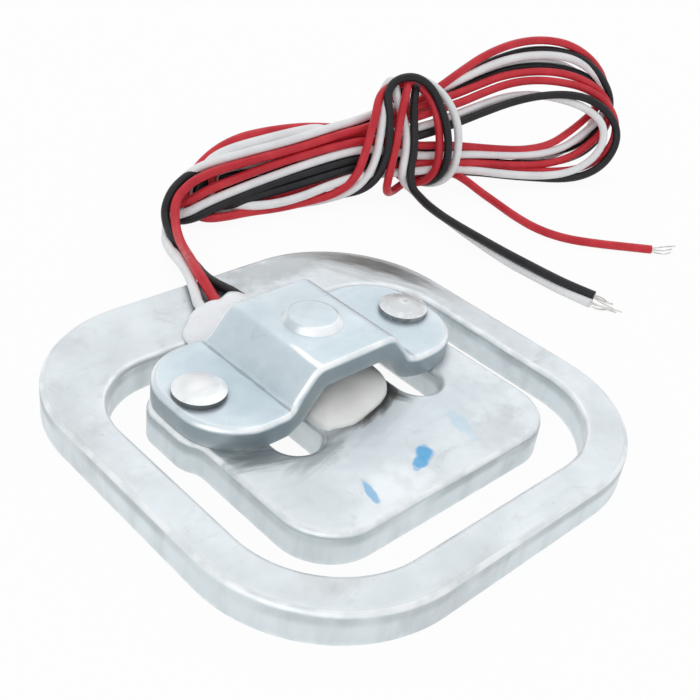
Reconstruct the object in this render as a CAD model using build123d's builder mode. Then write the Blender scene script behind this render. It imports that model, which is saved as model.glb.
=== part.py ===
"""Half-bridge load cell: stamped steel plate, riveted load bridge, strain gauge and three tied wires.

Millimetres, +Z up. The origin is the bottom centre of the square plate. The plate's spine is its
front, at -Y, and the wires leave over the back bar, at +Y.
"""
import math
import os

from build123d import *

os.makedirs("parts", exist_ok=True)

# Plate: a square ring whose back bar carries the measuring beam
plate_side = 34.0
plate_thickness = 2.4
plate_corner_radius = 10.0
plate_edge_round = 0.45
rim_width = 2.9
back_bar_width = 6.8
window_front_radius = 7.2
window_back_radius = 5.5
window_gap = 3.15

# The E inside the ring: spine at the front, beam in the middle, an arm at each side
spine_side_gap = 3.0
spine_depth = 7.2
spine_corner_radius = 3.9
beam_share = 0.3514
slot_share = 0.1532
arm_end_gap = 3.2
lobe_overhang = 0.65
lobe_length = 7.0
lobe_fillet_share = 0.63
beam_root_fillet = 1.2

# Load bridge: one folded strip over the beam, riveted to both arms
bridge_inset = 3.7
bridge_sheet = 1.6
bridge_rise = 2.35
bridge_overhang = 0.35
bridge_ear_depth = 10.2
bridge_ear_radius_share = 0.77
bridge_crown_depth = 9.4
crown_share = 0.3013
slope_run = 1.95
bend_outer_radius = 1.3
bend_inner_radius = 0.5
bridge_edge_round = 0.4
neck_length = 1.2
neck_fillet = 1.5

# Pressed load dimple on the crown
dimple_radius = 2.15
dimple_land_radius = 1.75
dimple_height = 0.5
dimple_recess_radius = 1.3
dimple_edge_round = 0.35

# Rivets through the ears and the arms, their tails set flush in countersinks
rivet_share = 0.8333
rivet_shank_radius = 1.2
rivet_head_radius = 1.8
rivet_head_height = 0.8
rivet_dome_height = 0.45
rivet_tail_radius = 1.9
rivet_tail_depth = 0.7
rivet_clearance = 0.02

# Strain gauge bonded on the beam, its places counted from the bridge's centre line
film_width = 5.5
film_length = 7.2
film_thickness = 0.1
film_offset = -1.75
film_corner_radius = 0.5
foil_thickness = 0.06
leg_count = 8
leg_pitch = 0.4
leg_width = 0.2
leg_length = 1.9
end_loop_width = 0.3
front_grid_offset = -5.0
rear_grid_offset = -2.55
trace_offset = 2.0
pad_width = 1.1
pad_length = 1.0
pad_offset = 1.0
pad_spacing = 1.65
solder_radius = 0.5
solder_height = 0.85
solder_round = 0.35
solder_reach = 0.3

# Soft coat over the gauge, outline counted from the bridge's centre line
coat_thickness = 1.3
coat_round = 1.1
coat_lap = 0.35
coat_back = 2.7
coat_front_outline = [
    (-3.85, -5.8), (-3.1, -6.4), (-1.6, -6.75), (0, -6.45), (1.6, -6.05), (2.9, -5.3), (3.7, -3.9),
]

# Adhesive at the wire exit, outline counted from the plate's back edge
adhesive_height = 1.3
adhesive_round = 0.6
adhesive_outline = [
    (-4.4, -8.4), (-5.3, -7.0), (-4.8, -5.0), (-3.2, -3.9), (-1.2, -3.65), (0.7, -3.7), (2.2, -4.3),
    (2.7, -6.2), (2.0, -8.3), (-1.2, -8.8),
]

# Wires
wire_diameter = 0.8
floor_clearance = 0.02
wire_arc_share = 0.45
tip_radius = 0.22
tip_lengths = {"white": 2.8, "black": 1.0, "red": 3.0}

# Tied hank: it leans back a little and rests along its lower edge
hank_start = (8.0, 10.5, 0.0)
hank_heading = -17.3
hank_lean = 25.0
hank_depth = 3.6
hank_bow = 1.9
hank_middle = 23.0
hank_half_length = 26.0
hank_margin = 2.0
tie_half_length = 4.9
tie_half_depth = 3.1

# Derived sizes
half_side = plate_side / 2
window_half = half_side - rim_width
window_back = half_side - back_bar_width
window_length = window_half + window_back
spine_front = window_gap - window_half
spine_width = 2 * (window_half - spine_side_gap)
beam_width = beam_share * spine_width
slot_width = slot_share * spine_width
slot_outer = beam_width / 2 + slot_width
slot_round_center = spine_front + spine_depth + slot_width / 2
arm_end = window_back - arm_end_gap
lobe_start = arm_end - lobe_length
lobe_outer = spine_width / 2 + lobe_overhang
lobe_radius = (lobe_outer - slot_outer) / 2
lobe_center = (lobe_outer + slot_outer) / 2
bridge_center = arm_end - bridge_inset
half_span = spine_width / 2 + bridge_overhang
crown_half_width = crown_share * half_span
bridge_foot = crown_half_width + slope_run
bridge_ear_radius = bridge_ear_radius_share * (half_span - bridge_foot - neck_length / 2)
rivet_x = rivet_share * spine_width / 2
ear_top = plate_thickness + bridge_sheet
crown_top = ear_top + bridge_rise
crown_underside = crown_top - bridge_sheet
film_top = plate_thickness + film_thickness
foil_top = film_top + foil_thickness
wire_radius = wire_diameter / 2
floor_height = wire_radius + floor_clearance


# Plate
with BuildPart() as sensor_plate:
    with BuildSketch() as plate_outline:
        RectangleRounded(plate_side, plate_side, plate_corner_radius)
        with BuildSketch(mode=Mode.PRIVATE) as window:
            with Locations((0, window_back - window_length / 2)):
                Rectangle(2 * window_half, window_length)
            fillet(window.vertices().group_by(Axis.Y)[0], window_front_radius)
            fillet(window.vertices().group_by(Axis.Y)[-1], window_back_radius)
        add(window.sketch, mode=Mode.SUBTRACT)
        with BuildSketch(mode=Mode.PRIVATE) as spine:
            with Locations((0, (spine_front + lobe_start + lobe_radius) / 2)):
                Rectangle(spine_width, lobe_start + lobe_radius - spine_front)
            fillet(spine.vertices().group_by(Axis.Y)[0], spine_corner_radius)
        add(spine.sketch)
        for side in (-1, 1):
            with Locations((side * lobe_center, (lobe_start + arm_end) / 2)):
                SlotOverall(arm_end - lobe_start, 2 * lobe_radius, rotation=90)
            with Locations((side * (beam_width + slot_width) / 2, (slot_round_center + window_back) / 2)):
                Rectangle(slot_width, window_back - slot_round_center, mode=Mode.SUBTRACT)
            with Locations((side * (beam_width + slot_width) / 2, slot_round_center)):
                Circle(slot_width / 2, mode=Mode.SUBTRACT)
        with Locations((0, (slot_round_center + window_back + beam_root_fillet) / 2)):
            Rectangle(beam_width, window_back + beam_root_fillet - slot_round_center)
        roots = plate_outline.vertices().filter_by(
            lambda v: abs(abs(v.X) - beam_width / 2) < 0.01 and abs(v.Y - window_back) < 0.01
        )
        fillet(roots, beam_root_fillet)
        necks = plate_outline.vertices().filter_by(
            lambda v: abs(abs(v.X) - spine_width / 2) < 0.01 and lobe_start < v.Y < arm_end
        )
        fillet(necks, lobe_fillet_share * lobe_radius)
    extrude(amount=plate_thickness)
    fillet(sensor_plate.edges().group_by(Axis.Z)[-1], plate_edge_round)
    for side in (-1, 1):
        with Locations((side * rivet_x, bridge_center, 0)):
            Cylinder(
                rivet_shank_radius + rivet_clearance, plate_thickness,
                align=(Align.CENTER, Align.CENTER, Align.MIN), mode=Mode.SUBTRACT,
            )
            Cone(
                rivet_tail_radius + rivet_clearance, rivet_shank_radius + rivet_clearance,
                rivet_tail_depth, align=(Align.CENTER, Align.CENTER, Align.MIN), mode=Mode.SUBTRACT,
            )
sensor_plate.part.label = "sensor_plate"

# Load bridge: folded section, cut to the strip's plan outline, with a pressed dimple
slope_length = math.hypot(slope_run, bridge_rise)
offset_shift = bridge_sheet * (slope_length - slope_run) / bridge_rise
inner_foot = bridge_foot - offset_shift
inner_crown = crown_half_width - offset_shift

with BuildPart() as load_bridge:
    with BuildSketch(Plane.XZ.offset(-bridge_center)) as section:
        with BuildLine():
            Polyline(
                (0, crown_top), (crown_half_width, crown_top), (bridge_foot, ear_top),
                (half_span, ear_top), (half_span, plate_thickness), (inner_foot, plate_thickness),
                (inner_crown, crown_underside), (0, crown_underside), close=True,
            )
        make_face()
        mirror(about=Plane.YZ)
        outer_bends = section.vertices().filter_by(
            lambda v: abs(abs(v.X) - crown_half_width) < 0.01 or abs(abs(v.X) - inner_foot) < 0.01
        )
        fillet(outer_bends, bend_outer_radius)
        inner_bends = section.vertices().filter_by(
            lambda v: abs(abs(v.X) - bridge_foot) < 0.01 or abs(abs(v.X) - inner_crown) < 0.01
        )
        fillet(inner_bends, bend_inner_radius)
    extrude(amount=bridge_ear_depth / 2, both=True)
    with BuildSketch(Plane((0, bridge_center, plate_thickness))) as strip:
        half_outline = [
            (half_span, bridge_ear_depth / 2),
            (bridge_foot + neck_length / 2, bridge_ear_depth / 2),
            (bridge_foot - neck_length / 2, bridge_crown_depth / 2),
        ]
        back_outline = half_outline + [(-x, y) for x, y in reversed(half_outline)]
        Polygon(*back_outline, *[(x, -y) for x, y in reversed(back_outline)], align=None)
        fillet(strip.vertices().filter_by(lambda v: abs(v.X) > half_span - 0.01), bridge_ear_radius)
        necks = strip.vertices().filter_by(lambda v: abs(abs(v.X) - bridge_foot) < neck_length)
        fillet(necks, neck_fillet)
    extrude(amount=crown_top, mode=Mode.INTERSECT)
    upright_faces = load_bridge.faces().filter_by(lambda f: abs(f.normal_at().Z) < 0.01)
    upper_faces = load_bridge.faces().filter_by(lambda f: f.normal_at().Z > 0.2)
    upper_edges = upper_faces.edges()
    rim_edges = upright_faces.edges().filter_by(
        lambda edge: any(edge.is_same(other) for other in upper_edges)
    )
    fillet(rim_edges, bridge_edge_round)
    with Locations((0, bridge_center, crown_top)):
        Cone(
            dimple_radius, dimple_land_radius, dimple_height,
            align=(Align.CENTER, Align.CENTER, Align.MIN),
        )
    fillet(load_bridge.edges().filter_by(GeomType.CIRCLE).group_by(Axis.Z)[-1], dimple_edge_round)
    with Locations((0, bridge_center, crown_underside)):
        Cone(
            dimple_recess_radius, dimple_recess_radius - dimple_height, dimple_height,
            align=(Align.CENTER, Align.CENTER, Align.MIN), mode=Mode.SUBTRACT,
        )
    for side in (-1, 1):
        with Locations((side * rivet_x, bridge_center, plate_thickness)):
            Cylinder(
                rivet_shank_radius + rivet_clearance, bridge_sheet,
                align=(Align.CENTER, Align.CENTER, Align.MIN), mode=Mode.SUBTRACT,
            )
load_bridge.part.label = "load_bridge"

# Rivets: domed head on the ear, straight shank, conical tail filling the countersink
rivet_top = ear_top + rivet_head_height
rivet_rim_top = rivet_top - rivet_dome_height
rivets = {}
for rivet_label, side in (("left_rivet", -1), ("right_rivet", 1)):
    with BuildPart() as rivet:
        axis_foot = (side * rivet_x, bridge_center, 0)
        with BuildSketch(Plane(origin=axis_foot, x_dir=(1, 0, 0), z_dir=(0, -1, 0))):
            with BuildLine():
                Polyline(
                    (0, rivet_top), (0, 0), (rivet_tail_radius, 0),
                    (rivet_shank_radius, rivet_tail_depth), (rivet_shank_radius, ear_top),
                    (rivet_head_radius, ear_top), (rivet_head_radius, rivet_rim_top),
                )
                TangentArc((0, rivet_top), (rivet_head_radius, rivet_rim_top), tangent=(1, 0))
            make_face()
        revolve(axis=Axis(axis_foot, (0, 0, 1)))
    rivet.part.label = rivet_label
    rivets[rivet_label] = rivet

# Gauge backing film, bonded on the beam
with BuildPart() as gauge_backing:
    with BuildSketch(Plane.XY.offset(plate_thickness)):
        with Locations((0, bridge_center + film_offset)):
            RectangleRounded(film_width, film_length, film_corner_radius)
    extrude(amount=film_thickness)
gauge_backing.part.label = "gauge_backing"

# Gauge foil: two folded grids, their traces and three solder pads, etched from one foil
grid_half_width = (leg_count - 1) * leg_pitch / 2 + leg_width / 2
front_grid_start = bridge_center + front_grid_offset
rear_grid_start = bridge_center + rear_grid_offset
front_grid_back = front_grid_start + leg_length
rear_grid_back = rear_grid_start + leg_length
pad_center = bridge_center + pad_offset
pad_front = pad_center - pad_length / 2

with BuildPart() as gauge_foil:
    with BuildSketch(Plane.XY.offset(film_top)):
        for grid_start in (front_grid_start, rear_grid_start):
            with Locations((0, grid_start + leg_length / 2)):
                with GridLocations(leg_pitch, 0, leg_count, 1):
                    Rectangle(leg_width, leg_length)
            for fold in range(leg_count - 1):
                at_front = fold % 2 == 0
                fold_y = grid_start if at_front else grid_start + leg_length
                with Locations(((fold + 1 - leg_count / 2) * leg_pitch, fold_y)):
                    Rectangle(leg_pitch + leg_width, end_loop_width)
        for side in (-1, 1):
            with Locations((side * (grid_half_width + trace_offset - leg_width / 2) / 2, front_grid_back)):
                Rectangle(trace_offset - grid_half_width + 1.5 * leg_width, leg_width)
            with Locations((side * trace_offset, (front_grid_back + pad_front) / 2)):
                Rectangle(leg_width, pad_front - front_grid_back + leg_width)
        with Locations((grid_half_width - leg_width / 2, (rear_grid_back + pad_front) / 2)):
            Rectangle(leg_width, pad_front - rear_grid_back + leg_width)
        trace_row = (rear_grid_back + pad_front) / 2
        with Locations((leg_width / 2 - grid_half_width, (rear_grid_back + trace_row) / 2)):
            Rectangle(leg_width, trace_row - rear_grid_back + leg_width)
        with Locations(((leg_width / 2 - grid_half_width) / 2, trace_row)):
            Rectangle(grid_half_width + leg_width / 2, leg_width)
        with Locations((0, (trace_row + pad_front) / 2)):
            Rectangle(leg_width, pad_front - trace_row + leg_width)
        with Locations((0, pad_center)):
            with GridLocations(pad_spacing, 0, 3, 1):
                Rectangle(pad_width, pad_length)
    extrude(amount=foil_thickness)
gauge_foil.part.label = "gauge_foil"


# Wires
def corner_radii(points):
    """Largest tangent arc at each corner of a route."""
    radii = []
    for before, corner, after in zip(points, points[1:], points[2:]):
        run_in = Vector(*corner) - Vector(*before)
        run_out = Vector(*after) - Vector(*corner)
        turn = math.radians(run_in.get_angle(run_out))
        radii.append(wire_arc_share * min(run_in.length, run_out.length) / math.tan(turn / 2))
    return radii


def wire_tube(label, points):
    """Round wire along straight runs joined by tangent arcs."""
    radii = corner_radii(points)
    with BuildPart() as tube:
        with BuildLine() as route:
            FilletPolyline(*points, radius=radii)
        with BuildSketch(Plane(origin=route.line @ 0, z_dir=route.line % 0)):
            Circle(wire_radius)
        sweep()
    tube.part.label = label
    length = route.wires()[0].length
    expected = math.pi * wire_radius**2 * length
    print(
        label, "length", round(length, 2), "smallest radius", round(min(radii), 2),
        "volume", round(tube.part.volume, 3), "of", round(expected, 3),
    )
    return tube


wire_start_y = pad_center + solder_reach
pad_wire_z = foil_top + floor_height

# Routes count their Y from the plate's back edge
inner_routes = {
    "white": [(-2.3, -9.0, 2.95), (-2.46, -5.8, 2.84), (-1.8, -3.4, 2.84)],
    "black": [(1.8, -9.0, 2.95), (1.44, -5.9, 2.84), (1.3, -3.4, 2.84)],
    "red": [(-0.75, -9.0, 2.95), (-1.04, -5.9, 2.9), (-0.42, -3.4, 2.9)],
}

lead_routes = {
    "white": [
        (-1.8, -3.4, 2.84), (-1.2, -1.22, 2.84), (-0.2, 1.35, 2.95), (1.15, 3.7, 2.1),
        (2.5, 5.86, 1.45), (3.6, 8.11, 1.3), (4.45, 10.1, 1.5), (5.5, 11.8, 2.3),
    ],
    "black": [
        (1.3, -3.4, 2.84), (1.25, -1.6, 2.84), (1.4, 0.3, 2.8), (1.75, 2.0, 1.8),
        (2.3, 3.9, 0.95), (3.2, 6.0, 0.65), (4.2, 8.1, 0.65), (4.95, 10.1, 0.85), (5.8, 11.8, 1.5),
    ],
    "red": [
        (-0.42, -3.4, 2.9), (0.0, -1.5, 2.9), (0.7, 0.8, 3.5), (2.05, 3.1, 2.6),
        (3.45, 5.3, 1.7), (4.6, 7.6, 1.4), (5.4, 9.6, 1.5), (6.2, 11.3, 2.5),
    ],
}

free_routes = {
    "white": [
        (30.2, 6.8, 1.55), (29.2, 3.2, 0.55), (28.05, -3.6, floor_height),
        (28.15, -10.4, floor_height), (28.6, -17.2, floor_height),
    ],
    "black": [
        (31.3, 6.4, 1.55), (30.3, 2.9, 0.55), (29.3, -3.8, floor_height),
        (29.25, -10.6, floor_height), (30.0, -17.2, floor_height),
    ],
    "red": [
        (35.2, 5.2, 1.8), (36.7, 2.2, 0.55), (36.3, -1.4, floor_height), (35.3, -5.0, floor_height),
        (35.7, -8.6, floor_height), (38.8, -12.15, floor_height), (42.0, -15.2, floor_height),
    ],
}


def behind_plate(points):
    """Points counted from the plate's back edge, moved into the row's frame."""
    return [(x, half_side + y, z) for x, y, z in points]


pad_places = {"white": -pad_spacing, "black": pad_spacing, "red": 0}
inner_wires = {
    colour: wire_tube(
        f"{colour}_inner_wire", [(pad_places[colour], wire_start_y, pad_wire_z), *behind_plate(points)]
    )
    for colour, points in inner_routes.items()
}
leads = {
    colour: wire_tube(f"{colour}_lead", behind_plate(points)) for colour, points in lead_routes.items()
}
free_ends = {
    colour: wire_tube(f"{colour}_free_end", behind_plate(points)) for colour, points in free_routes.items()
}

# Bare tinned tips, in line with the free ends
bare_tips = {}
for colour, points in free_routes.items():
    before_end, end = behind_plate(points)[-2:]
    with BuildPart() as tip:
        with BuildSketch(Plane(origin=end, z_dir=Vector(*end) - Vector(*before_end))):
            Circle(tip_radius)
        extrude(amount=tip_lengths[colour])
    tip.part.label = f"{colour}_bare_tip"
    bare_tips[colour] = tip

# Solder joints: a bead on each pad, flat where the wire's end meets it
solder_joints = {}
for colour, pad_x in pad_places.items():
    with BuildPart() as bead:
        with Locations((pad_x, pad_center, foil_top)):
            Cylinder(solder_radius, solder_height, align=(Align.CENTER, Align.CENTER, Align.MIN))
        fillet(bead.edges().group_by(Axis.Z)[-1], solder_round)
        with Locations((pad_x, wire_start_y, foil_top)):
            Box(
                2 * solder_radius, solder_radius, solder_height,
                align=(Align.CENTER, Align.MIN, Align.MIN), mode=Mode.SUBTRACT,
            )
    bead.part.label = f"{colour}_solder_joint"
    solder_joints[colour] = bead

# Silicone coat over the gauge, lapping over the beam's rounded edges
hidden_pieces = [gauge_backing, gauge_foil, *solder_joints.values(), *inner_wires.values()]

with BuildPart() as silicone_coat:
    with BuildSketch(Plane((0, bridge_center, plate_thickness - coat_lap))):
        with BuildLine():
            Spline(*coat_front_outline)
            right_end = coat_front_outline[-1]
            left_end = coat_front_outline[0]
            Polyline(right_end, (right_end[0], coat_back), (left_end[0], coat_back), left_end)
        make_face()
    extrude(amount=coat_lap + coat_thickness)
    fillet(silicone_coat.edges().group_by(Axis.Z)[-1], coat_round)
    add(sensor_plate.part, mode=Mode.SUBTRACT)
    for piece in hidden_pieces:
        add(piece.part, mode=Mode.SUBTRACT)
silicone_coat.part.label = "silicone_coat"

# Adhesive that holds the wires on the back bar
with BuildPart() as exit_adhesive:
    with BuildSketch(Plane((0, half_side, plate_thickness))):
        with BuildLine():
            Spline(*adhesive_outline, periodic=True)
        make_face()
    extrude(amount=adhesive_height)
    fillet(exit_adhesive.edges().group_by(Axis.Z)[-1], adhesive_round)
    for piece in inner_wires.values():
        add(piece.part, mode=Mode.SUBTRACT)
exit_adhesive.part.label = "exit_adhesive"

# Tied hank: side outline with its open ring, held inside a bowed band that is thicker at the tie
along = Vector(math.cos(math.radians(hank_heading)), math.sin(math.radians(hank_heading)), 0)
level = Vector(0, 0, 1).cross(along)
lean = math.radians(hank_lean)
rise = level * math.sin(lean) + Vector(0, 0, 1) * math.cos(lean)
toward = along.cross(rise)


def bowed(s, h):
    """Side outline point, lifted by the hank's bow seen along its leaning plane."""
    bow = hank_bow * (1 - ((s - hank_middle) / hank_half_length) ** 2)
    return (s, h + bow * math.sin(lean))


outer_outline = [
    (-2.9, 0.2), (-2.9, 1.8), (-2.2, 3.8), (0.4, 5.6), (3.2, 7.3), (6.1, 7.7), (12.0, 7.9), (17.6, 7.9),
    (19.9, 9.6), (23.3, 11.5), (26.4, 10.9), (29.5, 11.6), (34.8, 14.4), (39.5, 15.0), (44.2, 13.2),
    (47.4, 9.0), (48.0, 6.2), (46.8, 3.0), (43.4, 0.8), (37.0, 0.5), (29.4, 1.0), (22.5, 0.8),
    (13.0, 0.4), (4.0, 0.2),
]
ring_opening = [
    (29.3, 6.0), (31.4, 7.0), (34.6, 7.8), (38.7, 8.6), (41.7, 8.4), (43.6, 7.2), (42.2, 5.8),
    (38.5, 4.4), (34.0, 4.0), (30.6, 4.4),
]
arc_end = hank_half_length + hank_margin
arc_drop = hank_bow * ((arc_end / hank_half_length) ** 2 - 1) * math.cos(lean)
arc_rise = hank_bow * math.cos(lean)

hank_origin = behind_plate([hank_start])[0]

with BuildPart() as wire_hank:
    with BuildSketch(Plane(origin=hank_origin, x_dir=along, z_dir=toward)):
        with BuildLine():
            Spline(*[bowed(s, h) for s, h in outer_outline], periodic=True)
        make_face()
        with BuildSketch(mode=Mode.PRIVATE) as opening:
            with BuildLine():
                Spline(*[bowed(s, h) for s, h in ring_opening], periodic=True)
            make_face()
        add(opening.sketch, mode=Mode.SUBTRACT)
    extrude(amount=hank_half_length, both=True)
    with BuildSketch(Plane(origin=hank_origin, x_dir=along, z_dir=rise)):
        with BuildLine():
            front_arc = ThreePointArc(
                (hank_middle - arc_end, -arc_drop - hank_depth / 2),
                (hank_middle, arc_rise - hank_depth / 2),
                (hank_middle + arc_end, -arc_drop - hank_depth / 2),
            )
            back_arc = ThreePointArc(
                (hank_middle - arc_end, -arc_drop + hank_depth / 2),
                (hank_middle, arc_rise + hank_depth / 2),
                (hank_middle + arc_end, -arc_drop + hank_depth / 2),
            )
            Line(front_arc @ 0, back_arc @ 0)
            Line(front_arc @ 1, back_arc @ 1)
        make_face()
        with Locations((hank_middle, arc_rise)):
            Ellipse(tie_half_length, tie_half_depth)
    extrude(amount=hank_half_length, both=True, mode=Mode.INTERSECT)
    split(bisect_by=Plane.XY, keep=Keep.TOP)
    for piece in [*leads.values(), *free_ends.values()]:
        add(piece.part, mode=Mode.SUBTRACT)
wire_hank.part.label = "wire_hank"

all_pieces = [
    sensor_plate, load_bridge, *rivets.values(), gauge_backing, gauge_foil, *solder_joints.values(),
    silicone_coat, exit_adhesive, *inner_wires.values(), *leads.values(), wire_hank,
    *free_ends.values(), *bare_tips.values(),
]
for piece in all_pieces:
    export_step(piece.part, f"parts/{piece.part.label}.step")
    print(piece.part.label, piece.part.is_valid, round(piece.part.volume, 2), piece.part.bounding_box())
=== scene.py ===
"""Looks of the half-bridge load cell.

A stamped zinc-plated plate, a folded bridge, and three thin wires tied in a hank.
"""
import math

import bmesh
import bpy
from mathutils import Matrix, Vector, noise


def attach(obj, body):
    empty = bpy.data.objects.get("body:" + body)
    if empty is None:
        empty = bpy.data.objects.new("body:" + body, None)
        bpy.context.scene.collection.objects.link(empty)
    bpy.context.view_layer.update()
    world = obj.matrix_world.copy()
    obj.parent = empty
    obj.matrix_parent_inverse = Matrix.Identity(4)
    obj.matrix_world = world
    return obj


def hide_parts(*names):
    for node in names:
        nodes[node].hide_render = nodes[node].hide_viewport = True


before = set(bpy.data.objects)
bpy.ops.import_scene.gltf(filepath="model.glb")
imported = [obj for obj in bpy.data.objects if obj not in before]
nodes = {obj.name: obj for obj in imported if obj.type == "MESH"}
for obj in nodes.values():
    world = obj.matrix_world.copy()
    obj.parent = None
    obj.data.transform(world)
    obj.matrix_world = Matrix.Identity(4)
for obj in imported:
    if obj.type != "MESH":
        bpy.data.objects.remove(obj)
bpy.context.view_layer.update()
MM = 0.001
WIRE_RADIUS = 0.4 * MM
STRAND_RADIUS = 0.07 * MM
# Lowest outline of the soft beads, 0.01 mm above the plate's top face, in mm
BEAD_BASE = 2.41
# A bead's skirt goes this far below its lowest outline, in mm.
BEAD_SKIRT = 0.04
# Rings of a bead from its outline to its top, and the angle from one to the next, in degrees
BEAD_LEVELS = 9
BEAD_STEP = 10.6

# Colour of painted highlights on edges and rims, then colour of painted shade in creases
PAINTED_HIGHLIGHT = (0.96, 0.98, 0.99)
CREASE_SHADE = (0.17, 0.19, 0.20)
INK = (0.10, 0.36, 0.62)
PALE_INK = (0.36, 0.56, 0.70)


# Node helpers
class Finish:
    """A Principled material with its nodes, built step by step."""

    def __init__(self, name):
        self.mat = bpy.data.materials.new(name)
        self.mat.use_nodes = True
        self.tree = self.mat.node_tree
        self.nodes = self.tree.nodes
        self.links = self.tree.links
        self.shader = self.nodes["Principled BSDF"]
        self.coords = self.nodes.new("ShaderNodeTexCoord").outputs["Object"]

    def set(self, **values):
        for key, value in values.items():
            self.shader.inputs[key.replace("_", " ")].default_value = value
        return self

    def put(self, socket, source):
        if isinstance(source, bpy.types.NodeSocket):
            self.links.new(source, socket)
        elif isinstance(source, tuple) and len(source) == 3 and socket.type == "RGBA":
            socket.default_value = (*source, 1)
        else:
            socket.default_value = source

    def moved(self, scale=(1, 1, 1), turn=(0, 0, 0), shift=(0, 0, 0), source=None):
        node = self.nodes.new("ShaderNodeMapping")
        self.links.new(source or self.coords, node.inputs["Vector"])
        node.inputs["Scale"].default_value = scale
        node.inputs["Rotation"].default_value = turn
        node.inputs["Location"].default_value = shift
        return node.outputs["Vector"]

    def noise(self, scale, detail=3.0, rough=0.55, source=None, distortion=0.0):
        node = self.nodes.new("ShaderNodeTexNoise")
        self.links.new(source or self.coords, node.inputs["Vector"])
        node.inputs["Scale"].default_value = scale
        node.inputs["Detail"].default_value = detail
        node.inputs["Roughness"].default_value = rough
        node.inputs["Distortion"].default_value = distortion
        return node.outputs["Fac"]

    def ramp(self, source, low, high, to_low=0.0, to_high=1.0):
        node = self.nodes.new("ShaderNodeMapRange")
        node.interpolation_type = "SMOOTHSTEP"
        self.links.new(source, node.inputs["Value"])
        node.inputs["From Min"].default_value = low
        node.inputs["From Max"].default_value = high
        node.inputs["To Min"].default_value = to_low
        node.inputs["To Max"].default_value = to_high
        return node.outputs["Result"]

    def math(self, kind, a, b=0.0):
        node = self.nodes.new("ShaderNodeMath")
        node.operation = kind
        self.put(node.inputs[0], a)
        self.put(node.inputs[1], b)
        return node.outputs[0]

    def times(self, first, *others):
        """Product of masks and plain numbers."""
        for other in others:
            first = self.math("MULTIPLY", first, other)
        return first

    def mix(self, amount, a, b):
        node = self.nodes.new("ShaderNodeMix")
        node.data_type = "RGBA"
        self.put(node.inputs[0], amount)
        self.put(node.inputs[6], a)
        self.put(node.inputs[7], b)
        return node.outputs[2]

    def tint(self, tone, shade, *masks):
        """The tone, turned towards a shade by the product of the masks."""
        return self.mix(self.times(*masks), tone, shade)

    def ellipse(self, center, size, turn):
        """Coordinates turned with an ellipse on the top face, and distance: 1 on its outline."""
        flat = self.moved(shift=(-center[0] * MM, -center[1] * MM, 0))
        turned = self.moved(turn=(0, 0, -turn), source=flat)
        scaled = self.moved(scale=(1 / (size[0] * MM), 1 / (size[1] * MM), 0), source=turned)
        node = self.nodes.new("ShaderNodeVectorMath")
        node.operation = "LENGTH"
        self.links.new(scaled, node.inputs[0])
        return turned, node.outputs["Value"]

    def filled(self, distance, texture, soft, ragged):
        """1 inside an outline, with a soft rim that the texture makes ragged."""
        rim = self.math("ADD", distance, self.ramp(texture, 0.3, 0.7, -ragged, ragged))
        return self.ramp(rim, 1 - soft, 1 + soft, 1.0, 0.0)

    def spot(self, center, size, turn, soft, ragged, grain):
        """Soft-edged ellipse on the top face, 1 inside; centre and half sizes in mm."""
        _, distance = self.ellipse(center, size, turn)
        return self.filled(distance, self.noise(grain), soft, ragged)

    def smear(self, center, size, turn):
        """Like a spot, with a softer rim and fine streaks along its first axis."""
        turned, distance = self.ellipse(center, size, turn)
        streaks = self.noise(1300, 4, 0.6, source=self.moved(scale=(0.14, 1, 1), source=turned))
        return self.filled(distance, streaks, soft=0.7, ragged=0.5)

    def nearness(self, reach, inside=False):
        """1 on open surface, falling to 0 in creases within reach, in mm.

        Looked at from inside, it falls to 0 near sharp outer edges.
        """
        node = self.nodes.new("ShaderNodeAmbientOcclusion")
        node.samples = 8
        node.inside = inside
        node.only_local = inside
        node.inputs["Distance"].default_value = reach * MM
        return node.outputs["AO"]

    def facing(self, axis):
        """One part of the surface normal."""
        split = self.nodes.new("ShaderNodeSeparateXYZ")
        self.links.new(self.nodes.new("ShaderNodeNewGeometry").outputs["Normal"], split.inputs[0])
        return split.outputs[axis]

    def upward(self, low, high, to_low=0.0, to_high=1.0):
        """Ramp over the normal's Z, which is 1 on faces that look up and 0 on upright ones."""
        return self.ramp(self.facing("Z"), low, high, to_low, to_high)

    def height(self):
        """Height above the floor, in metres."""
        split = self.nodes.new("ShaderNodeSeparateXYZ")
        self.links.new(self.coords, split.inputs[0])
        return split.outputs["Z"]

    def upper_rim(self):
        """1 on the rounded upper edges of a sheet."""
        return self.times(self.upward(0.15, 0.5), self.upward(0.90, 0.985, 1.0, 0.0))

    def color(self, source):
        self.put(self.shader.inputs["Base Color"], source)
        return self

    def rough(self, lowest, highest, scale, detail=3.0, noise_rough=0.55):
        """Roughness that drifts between two values."""
        drift = self.ramp(self.noise(scale, detail, noise_rough), 0.3, 0.7, lowest, highest)
        self.put(self.shader.inputs["Roughness"], drift)
        return self

    def bump(self, *layers):
        """Layers of (height, strength, distance in mm)."""
        below = None
        for height, strength, distance in layers:
            node = self.nodes.new("ShaderNodeBump")
            node.inputs["Strength"].default_value = strength
            node.inputs["Distance"].default_value = distance * MM
            self.links.new(height, node.inputs["Height"])
            if below:
                self.links.new(below, node.inputs["Normal"])
            below = node.outputs["Normal"]
        self.links.new(below, self.shader.inputs["Normal"])
        return self


def wear(node_name, material):
    """Gives a CAD node its finish."""
    ob = nodes[node_name]
    ob.data.materials.clear()
    ob.data.materials.append(material)


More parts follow.
